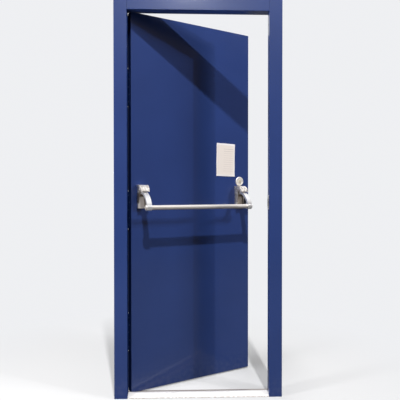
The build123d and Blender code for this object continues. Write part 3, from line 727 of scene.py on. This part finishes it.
# The floor's colours: at the left and the right as the camera sees it, the right darker as painted
# shade that evens out the lamps' light there, and as all else sees it; the camera also sees it glow a
# little, and less so in the painted soft shade
FLOOR_LEFT = (0.455, 0.455, 0.46)
FLOOR_RIGHT = (0.42, 0.42, 0.425)
FLOOR_UNSEEN = (0.15, 0.15, 0.15)
FLOOR_GLOW = 0.325
SHADE_DEPTH = 0.15
BLACK = (0.0, 0.0, 0.0)
WHITE = (1.0, 1.0, 1.0)


class DOOR_OT_stage(bpy.types.Operator):
    """Camera, lamps, backdrop and floor"""

    bl_idname = "door.stage"
    bl_label = "Studio"

    def execute(self, context):
        studio = context.scene.door_studio
        data = bpy.data.cameras.new("Camera")
        data.sensor_width = 36.0
        data.lens = studio.focal_length
        camera = bpy.data.objects.new("Camera", data)
        context.scene.collection.objects.link(camera)
        camera.location = studio.camera_place
        camera.rotation_euler = studio.camera_turn
        context.scene.camera = camera
        context.scene.view_settings.view_transform = "Standard"
        for name, facts in LAMPS.items():
            self.lamp(name, getattr(studio, name), *facts)
        self.world(studio)
        self.floor(studio)
        return {"FINISHED"}

    def lamp(self, name, power, place, aim, size, mirrored, lighting):
        """An area lamp at a place, turned to face a point."""
        data = bpy.data.lights.new(name, "AREA")
        data.shape = "RECTANGLE"
        data.size, data.size_y = size
        data.energy = power
        lamp = bpy.data.objects.new(name, data)
        bpy.context.scene.collection.objects.link(lamp)
        lamp.location = place
        lamp.visible_glossy = mirrored
        lamp.visible_diffuse = lighting
        lamp.rotation_euler = (Vector(aim) - Vector(place)).to_track_quat("-Z", "Y").to_euler()

    def world(self, studio):
        """Pale as the camera sees it; as metal mirrors it, pale behind the door and overhead and
        dimmer on the camera's side; a soft fill otherwise."""
        sky = Finish("studio_air", world=True)
        path = sky.tree.nodes.new("ShaderNodeLightPath")
        seen, glossy, through = (Number(sky.tree, path.outputs[kind]) for kind in (
            "Is Camera Ray", "Is Glossy Ray", "Is Transmission Ray"))
        x, y, z = sky.axes(sky.node("TexCoord", output="Generated"))
        open_side = y.ramp(-0.25, 0.35).most(z.ramp(0.50, 0.72))
        graded = sky.mix(open_side, studio.dim, studio.pale)
        view = sky.mix(seen, graded, studio.pale)
        plain = sky.node("Background", None, {"Color": (*WHITE, 1.0), "Strength": studio.fill})
        pale = sky.node("Background", None, {"Color": view, "Strength": 1.0})
        shown = seen.most(glossy.most(through))
        both = sky.node("MixShader", None, {0: shown, 1: plain, 2: pale})
        sky.tree.links.new(both, sky.output.inputs["Surface"])
        bpy.context.scene.world = sky.block

    def floor(self, studio):
        """A wide plane a hair under the sill: it keeps the shadow near the door, fades into the
        backdrop, and has a painted soft shade behind the right jamb and a darker right side as painted
        shade."""
        ends = np.linspace(-FLOOR_HALF, FLOOR_HALF, 3)
        s, t = np.meshgrid(ends, ends, indexing="ij")
        points = np.stack([s, t, np.full_like(s, FLOOR_BELOW)], axis=-1)
        stuff = Finish("pale_floor")
        x, y, z = stuff.axes(stuff.coordinates())
        path = stuff.tree.nodes.new("ShaderNodeLightPath")
        seen = Number(stuff.tree, path.outputs["Is Camera Ray"])
        far = seen * (((x - FADE_MIDDLE) * (x - FADE_MIDDLE) + y * y) ** 0.5).ramp(*FADE)
        # Darker at the right as the camera sees it: painted shade that evens out the lamps' light
        shade = stuff.mix(x.ramp(-0.8, 0.8), FLOOR_LEFT, FLOOR_RIGHT)
        # Painted soft shade behind the right jamb, which dims the floor's glow
        aside = (x - SHADE_MIDDLE[0]) / SHADE_REACH[0]
        beyond = (y - SHADE_MIDDLE[1]) / SHADE_REACH[1]
        soft = 1.0 - ((aside * aside + beyond * beyond) ** 0.5).ramp(0.0, 1.0)
        glow = stuff.mix(seen * (FLOOR_GLOW - SHADE_DEPTH * soft), BLACK, WHITE)
        lit = stuff.node("BsdfDiffuse", None, {"Color": stuff.mix(seen, FLOOR_UNSEEN, shade)})
        lift = stuff.node("Emission", None, {"Color": glow, "Strength": 1.0})
        near = stuff.node("AddShader", None, {0: lit, 1: lift})
        pale = stuff.node("Emission", None, {"Color": (*studio.pale, 1.0), "Strength": 1.0})
        both = stuff.node("MixShader", None, {0: far, 1: near, 2: pale})
        stuff.tree.links.new(both, stuff.output.inputs["Surface"])
        floor = new_piece("studio_floor", points, grid_faces(3, 3, False), stuff.block)
        if floor.data.polygons[0].normal.z < 0:
            floor.data.flip_normals()


# Finishes on the CAD nodes

class DOOR_OT_paint(bpy.types.Operator):
    """Powder coat on the frame and the leaf"""

    bl_idname = "door.paint"
    bl_label = "Blue paint"

    def execute(self, context):
        paint = tuple(context.scene.door_colours.paint)
        dress(powder_coat("frame_powder_coat", paint, (0, 0, 0), 0.0),
              "left_jamb", "right_jamb", "head")
        dress(powder_coat("leaf_powder_coat", paint, leaf_place(0.0, 0.0, 0.0), SWING),
              "push_skin", "outer_skin", "top_channel", "bottom_channel")
        return {"FINISHED"}


class DOOR_OT_metals(bpy.types.Operator):
    """Steel, chrome and brass on the bare metal pieces"""

    bl_idname = "door.metals"
    bl_label = "Metals"

    def execute(self, context):
        colours = context.scene.door_colours
        self.frame_metals(colours)
        self.bar_metals(colours)
        self.lock_metals(colours)
        return {"FINISHED"}

    def frame_metals(self, colours):
        steel = tuple(colours.steel)
        upright = (0.0004, 0.0004, 0.03)
        hinges = [f"{which}_hinge_{part}" for which in HINGES
                  for part in ("frame_plate", "pin", "leaf_plate")]
        dress(trodden_steel("sill_steel", tuple(colours.sill)), "threshold")
        dress(brushed("keep_steel_finish", steel, lengths=upright), "strike_plate")
        # The hinge plates are painted over in the door's blue, darkened to 0.6 as painted shade in the
        # hinge gap; the steel is bare round the pins
        dress(brushed("hinge_steel_finish", steel, lengths=upright, rough=0.32,
                      paint=tint(tuple(colours.paint), 0.6)), *hinges)
        dress(plated("zinc_tubes", tuple(colours.zinc), rough=0.42),
              "left_fixing_sleeves", "right_fixing_sleeves")

    def bar_metals(self, colours):
        warm = tuple(colours.warm_steel)
        # Heights below which the bar's underside is browner, a painted shade and reflection
        underside_shade = (BAR_HEIGHT - 0.012, BAR_HEIGHT + 0.004)
        dress(hood_steel("hood_steel", warm), *(f"{side}_cover" for side in HOUSINGS))
        dress(plated("plated_steel", tuple(colours.plating), rough=0.34), "latch_bolt",
              *(f"{side}_{part}" for side in HOUSINGS for part in ("chassis", "pivot")))
        dress(polished("arm_chrome_finish", tuple(colours.chrome), metallic=0.75),
              *(f"{side}_arm" for side in HOUSINGS))
        dress(brushed("bar_steel_finish", warm, SWING, (0.08, 0.0005, 0.0005), rough=0.44,
                      grain=0.000001, cloudy=0.02, metallic=0.6, shaded=underside_shade),
              "push_tube", *(f"{side}_cap" for side in HOUSINGS))

    def lock_metals(self, colours):
        dress(plated("dark_casting", tuple(colours.dark), rough=0.38, metallic=0.6), "latch_case")
        dress(plated("pale_satin", tuple(colours.cream), rough=0.36, metallic=0.35),
              "inner_rosette", "outer_rosette")
        dress(brushed("barrel_brass", tuple(colours.brass), SWING, (0.0006, 0.0006, 0.006),
                      rough=0.36, metallic=0.5), "lock_cylinder")


class DOOR_OT_trim(bpy.types.Operator):
    """Rubber seals, the gasket on the hinge edge and the hidden filling"""

    bl_idname = "door.trim"
    bl_label = "Seals and filling"

    def execute(self, context):
        colours = context.scene.door_colours
        rubber = tuple(colours.rubber)
        dress(matt("seal_rubber_finish", rubber, rough=0.7), "left_seal", "right_seal", "head_seal")
        dress(matt("board_filling", tuple(colours.board), rough=0.85, grain=250.0, depth=0.0001),
              "leaf_core")
        self.gasket(context.scene.door_sizes, matt("gasket_rubber", rubber, rough=0.7))
        return {"FINISHED"}

    def gasket(self, sizes, rubber):
        """A strip on the leaf's hinge edge that closes the gap at its outer corner, in runs between
        the hinges: a rounded box profile, whose sines and cosines are raised to the half, is carried
        straight up each run and drawn in to a point at both ends."""
        turn = np.arange(GASKET_CORNERS) * (2 * math.pi / GASKET_CORNERS)
        wide = np.sign(np.cos(turn)) * np.sqrt(np.abs(np.cos(turn)))
        deep = np.sign(np.sin(turn)) * np.sqrt(np.abs(np.sin(turn)))
        drawn = np.array([0.0, 1.0, 1.0, 0.0])[:, None]
        low = np.array([GASKET_FOOT, *(HINGE_HEIGHTS + GASKET_CLEAR)])
        high = np.array([*(HINGE_HEIGHTS - GASKET_CLEAR), GASKET_TOP])
        heights = np.stack([low, low, high, high], axis=-1)
        points = leaf_place(GASKET_AT + drawn * wide * sizes.gasket_width / 2,
                            GASKET_OUT + drawn * deep * sizes.gasket_depth / 2, heights[..., None])
        faces = repeated_faces(len(drawn), GASKET_CORNERS, len(low))
        piece = new_piece("hinge_side_gasket", points, faces, rubber)
        smooth_by_angle(piece, math.radians(40))
        place_piece(piece, "leaf", "seal_rubber")


# Added pieces

class DOOR_OT_notice(bpy.types.Operator):
    """The paper sheet on the push face"""

    bl_idname = "door.notice"
    bl_label = "Notice sheet"

    def execute(self, context):
        """The sheet is a grid of s across and t up; it lies a little off the paint, waves by a
        fraction of a millimetre, and three of its corners lift with a high power of their
        nearness."""
        sizes = context.scene.door_sizes
        columns, rows = 41, 57
        s, t = np.meshgrid(np.linspace(0, 1, columns), np.linspace(0, 1, rows), indexing="ij")
        across = (s - 0.5) * sizes.sheet_width
        up = (t - 0.5) * sizes.sheet_height
        lift = SHEET_OFF + SHEET_WAVE * np.sin(5.2 * s + 1.1) * np.sin(3.7 * t + 0.6) ** 2
        lift += sizes.sheet_curl * (s * (1 - t)) ** 7
        lift += 0.55 * sizes.sheet_curl * ((1 - s) * (1 - t)) ** 9
        lift += 0.35 * sizes.sheet_curl * (s * t) ** 12
        lift = np.maximum(lift, SHEET_NEAREST)
        tilt = -sizes.sheet_tilt
        along = across * math.cos(tilt) - up * math.sin(tilt)
        height = across * math.sin(tilt) + up * math.cos(tilt)
        points = leaf_place(NOTICE_AT + along, lift, NOTICE_HEIGHT + height)
        paper = ruled_paper("ruled_paper", tuple(context.scene.door_colours.paper))
        piece = new_piece("notice_paper", points, grid_faces(columns, rows, False), paper,
                          uv=np.stack([s, t], axis=-1))
        if np.dot(np.array(piece.data.polygons[0].normal), OUT) < 0:
            piece.data.flip_normals()
        piece.data.shade_smooth()
        thick = piece.modifiers.new("thickness", "SOLIDIFY")
        thick.thickness = SHEET_THICKNESS
        thick.offset = 0.0
        place_piece(piece, "leaf", "paper", "notice_sheet")
        return {"FINISHED"}


class DOOR_OT_screws(bpy.types.Operator):
    """Screws in the hinges, the sill, the keep and the latch case"""

    bl_idname = "door.screws"
    bl_label = "Screws"

    def execute(self, context):
        sizes = context.scene.door_sizes
        colours = context.scene.door_colours
        steel = plated("screw_steel", tuple(colours.screw), rough=0.30)
        painted = plated("painted_screws", tuple(colours.paint), rough=0.6, metallic=0.0)
        dark = plated("dark_screw_steel", tuple(colours.dark_screw), rough=0.34, metallic=0.8)

        heights = HINGE_HEIGHTS[:, None] + np.array(HINGE_SCREW_LIFTS)
        sway = HINGE_SCREW_SWAY * (-1.0) ** np.arange(len(HINGE_SCREW_LIFTS))
        depth = np.broadcast_to(HINGE_SCREW_ROW + sway, heights.shape)
        fixed = np.stack([np.full_like(heights, PIN[0] - HINGE_FACE), depth, heights], axis=-1)
        moving = leaf_place(HINGE_FACE - PIN_ASIDE, PIN[1] - PIN_BEHIND - depth, heights)
        keep = [(KEEP_FACE, KEEP_MIDDLE, LATCH_HEIGHT + lift) for lift in KEEP_SCREW_LIFTS]
        sill = [(x, SILL_SCREW_ROW, SILL_PLATE_TOP) for x in SILL_SCREWS_ACROSS]
        case = leaf_place(CASE_AT, CASE_FACE, LATCH_HEIGHT + np.array(CASE_SCREW_LIFTS))

        place_piece(screws("hinge_frame_screws", fixed.reshape(-1, 3), ACROSS,
                           sizes.hinge_screw, 0.0, painted), "frame", "hinge_steel")
        place_piece(screws("hinge_leaf_screws", moving.reshape(-1, 3), -ALONG,
                           sizes.hinge_screw, 0.0, painted), "leaf", "hinge_steel")
        place_piece(screws("keep_screws", keep, -ACROSS, sizes.keep_screw, 0.0, steel),
                    "frame", "keep_steel")
        place_piece(screws("sill_screws", sill, UP, sizes.sill_screw, 0.0, steel),
                    "frame", "threshold_steel")
        place_piece(screws("latch_case_screws", case, OUT, sizes.case_screw, 0.35, dark),
                    "leaf", "latch_dark")
        return {"FINISHED"}


class DOOR_PT_panel(bpy.types.Panel):
    """Steps that finish the door, and their settings"""

    bl_idname = "DOOR_PT_panel"
    bl_label = "Fire Door"
    bl_space_type = "VIEW_3D"
    bl_region_type = "UI"
    bl_category = "Fire Door"

    def draw(self, context):
        for step in STEPS:
            self.layout.operator(step.bl_idname)
        for group in GROUPS:
            box = self.layout.box()
            settings = getattr(context.scene, GROUPS[group])
            for key in group.__annotations__:
                box.prop(settings, key)


STEPS = (DOOR_OT_stage, DOOR_OT_paint, DOOR_OT_metals, DOOR_OT_trim, DOOR_OT_notice, DOOR_OT_screws)
GROUPS = {DoorSizes: "door_sizes", DoorColours: "door_colours", DoorStudio: "door_studio"}


def register():
    for kind in (*GROUPS, *STEPS, DOOR_PT_panel):
        bpy.utils.register_class(kind)
    for kind, name in GROUPS.items():
        setattr(bpy.types.Scene, name, PointerProperty(type=kind))


def unregister():
    for name in GROUPS.values():
        delattr(bpy.types.Scene, name)
    for kind in (DOOR_PT_panel, *reversed(STEPS), *reversed(GROUPS)):
        bpy.utils.unregister_class(kind)


def main():
    register()
    for step in STEPS:
        group, call = step.bl_idname.split(".")
        getattr(getattr(bpy.ops, group), call)()


if __name__ == "__main__":
    main()
